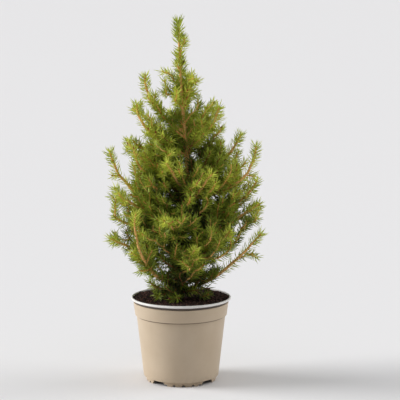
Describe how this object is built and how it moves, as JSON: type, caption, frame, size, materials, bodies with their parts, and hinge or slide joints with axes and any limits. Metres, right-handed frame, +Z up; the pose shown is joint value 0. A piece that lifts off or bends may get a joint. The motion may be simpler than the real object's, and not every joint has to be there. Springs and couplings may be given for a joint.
{
  "type": "potted dwarf spruce",
  "caption": "Young dwarf spruce with a bare-necked leader and dense upswept needled boughs, standing in a round tapered plant pot filled with dark compost.",
  "frame": {"origin": "centre of the pot's flat underside, on the surface it stands on", "axes": "+Z up along the trunk, -Y towards the front of the plant, +X to its right as seen from the front"},
  "size_m": [0.2066, 0.1785, 0.476],
  "materials": {
    "pot": "satin beige plastic, tapered wall with a step below the collar",
    "rim": "satin off-white plastic lip",
    "compost": "dark crumbly moist compost",
    "bark": "dark brown rough bark below, orange-tan smooth young shoots above",
    "foliage": "short stiff needles, mid green inside and yellow-green at the tips"
  },
  "bodies": {
    "root": {"pot": "pot", "rim": "rim", "compost": "compost", "trunk": "bark", "bough_left_top": "bark", "bough_left_shoulder": "bark", "bough_left_upper": "bark", "bough_left_wing": "bark", "bough_left_middle": "bark", "bough_left_lower": "bark", "bough_left_foot": "bark", "bough_front_left": "bark", "bough_right_top": "bark", "bough_right_shoulder": "bark", "bough_right_wing": "bark", "bough_right_middle": "bark", "bough_right_bulge": "bark", "bough_right_front": "bark", "bough_right_foot": "bark", "bough_front_upper": "bark", "bough_front_right": "bark", "bough_front_face": "bark", "bough_front_lower": "bark", "bough_back_upper": "bark", "bough_back_right": "bark", "bough_back_left": "bark", "bough_back_middle": "bark", "bough_back_lower_right": "bark", "bough_back_lower_left": "bark", "bough_back_foot": "bark", "foliage_left_top": "foliage", "foliage_left_shoulder": "foliage", "foliage_left_upper": "foliage", "foliage_left_wing": "foliage", "foliage_left_middle": "foliage", "foliage_left_lower": "foliage", "foliage_left_foot": "foliage", "foliage_front_left": "foliage", "foliage_right_top": "foliage", "foliage_right_shoulder": "foliage", "foliage_right_wing": "foliage", "foliage_right_middle": "foliage", "foliage_right_bulge": "foliage", "foliage_right_front": "foliage", "foliage_right_foot": "foliage", "foliage_front_upper": "foliage", "foliage_front_right": "foliage", "foliage_front_face": "foliage", "foliage_front_lower": "foliage", "foliage_back_upper": "foliage", "foliage_back_right": "foliage", "foliage_back_left": "foliage", "foliage_back_middle": "foliage", "foliage_back_lower_right": "foliage", "foliage_back_lower_left": "foliage", "foliage_back_foot": "foliage", "foliage_leader": "foliage", "foliage_whorl": "foliage", "foliage_crown": "foliage", "foliage_low_skirt": "foliage"}
  },
  "joints": []
}
